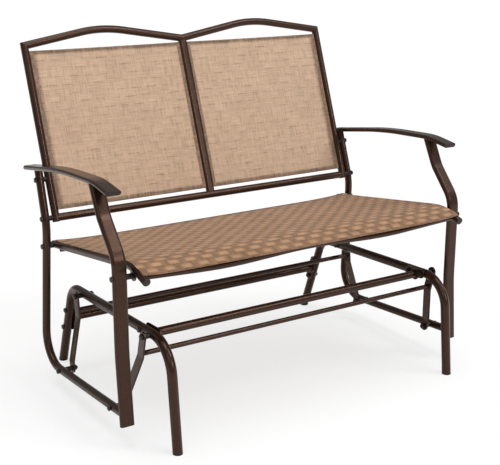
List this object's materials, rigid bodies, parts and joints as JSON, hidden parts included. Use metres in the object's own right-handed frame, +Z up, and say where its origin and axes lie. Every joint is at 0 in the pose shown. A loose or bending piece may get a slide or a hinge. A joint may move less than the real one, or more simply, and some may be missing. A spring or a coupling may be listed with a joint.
{
  "type": "glider bench",
  "caption": "Patio glider bench: tubular frame with mesh sling seat and back, hung on swing links from a standing base so it glides fore and aft.",
  "frame": {"origin": "on the floor, midway between the two sides and midway between the front and rear extremes of the bench at rest", "axes": "+Z up, +X to the right of someone who looks at the bench's front, -Y the way the bench faces"},
  "size_m": [1.089, 0.7546, 0.9476],
  "materials": {
    "bronze_coat": "dark bronze-brown powder coat, satin with soft highlights",
    "back_mesh": "tan woven sling mesh with darker flecks",
    "seat_mesh": "light brown basket-weave sling mesh",
    "black_plastic": "matt black moulded plastic",
    "black_steel": "black finished steel, semi-matt"
  },
  "bodies": {
    "seat": {"arm_leg_plugs": "black_plastic", "armrest_left": "bronze_coat", "armrest_plugs": "black_plastic", "armrest_right": "bronze_coat", "back_bottom_rail": "bronze_coat", "back_centre_post": "bronze_coat", "back_frame_bolts": "black_steel", "back_frame_spacers": "black_steel", "back_frame_tube": "bronze_coat", "back_sling_left": "back_mesh", "back_sling_right": "back_mesh", "back_upright_plugs": "black_plastic", "front_arm_leg_left": "bronze_coat", "front_arm_leg_right": "bronze_coat", "lower_pivot_bolts": "black_steel", "lower_pivot_nuts": "black_steel", "lower_pivot_spacers": "black_steel", "rear_tube_left": "bronze_coat", "rear_tube_right": "bronze_coat", "seat_frame_bolts": "black_steel", "seat_frame_nuts": "black_steel", "seat_frame_spacers": "black_steel", "seat_front_rail": "bronze_coat", "seat_rail_plugs": "black_plastic", "seat_rear_rail": "bronze_coat", "seat_side_rail_left": "bronze_coat", "seat_side_rail_right": "bronze_coat", "seat_sling": "seat_mesh"},
    "base": {"base_front_crossbar": "bronze_coat", "base_rear_crossbar": "bronze_coat", "base_side_frame_left": "bronze_coat", "base_side_frame_right": "bronze_coat", "front_crossbar_bolts": "black_steel", "front_crossbar_nuts": "black_steel", "front_foot_caps": "black_plastic", "rear_crossbar_bolts": "black_steel", "rear_crossbar_nuts": "black_steel", "rear_foot_caps": "black_plastic", "upper_pivot_bolts": "black_steel", "upper_pivot_nuts": "black_steel", "upper_pivot_spacers": "black_steel"},
    "front_swing_arm": {"front_link_bushes": "black_plastic", "front_link_left": "bronze_coat", "front_link_right": "bronze_coat", "front_link_rod": "bronze_coat"},
    "rear_swing_arm": {"rear_link_bushes": "black_plastic", "rear_link_left": "bronze_coat", "rear_link_right": "bronze_coat", "rear_link_rod": "bronze_coat"}
  },
  "joints": [
    {"name": "front_arm_swing", "type": "hinge", "parent": "base", "child": "front_swing_arm", "pos_m": [0, -0.2557, 0.268], "axis": [1, 0, 0], "range_deg": [-10, 10]},
    {"name": "rear_arm_swing", "type": "hinge", "parent": "base", "child": "rear_swing_arm", "pos_m": [0, 0.1353, 0.25432], "axis": [1, 0, 0], "range_deg": [-9.5, 9.5]},
    {"name": "seat_swing", "type": "hinge", "parent": "front_swing_arm", "child": "seat", "pos_m": [0, -0.20392, 0.08], "axis": [1, 0, 0], "range_deg": [-12.4, 12.4]}
  ],
  "couplings": [
    {"joint": "rear_arm_swing", "follows": "front_arm_swing", "ratio": 0.94704},
    {"joint": "seat_swing", "follows": "front_arm_swing", "ratio": -1.2254}
  ]
}
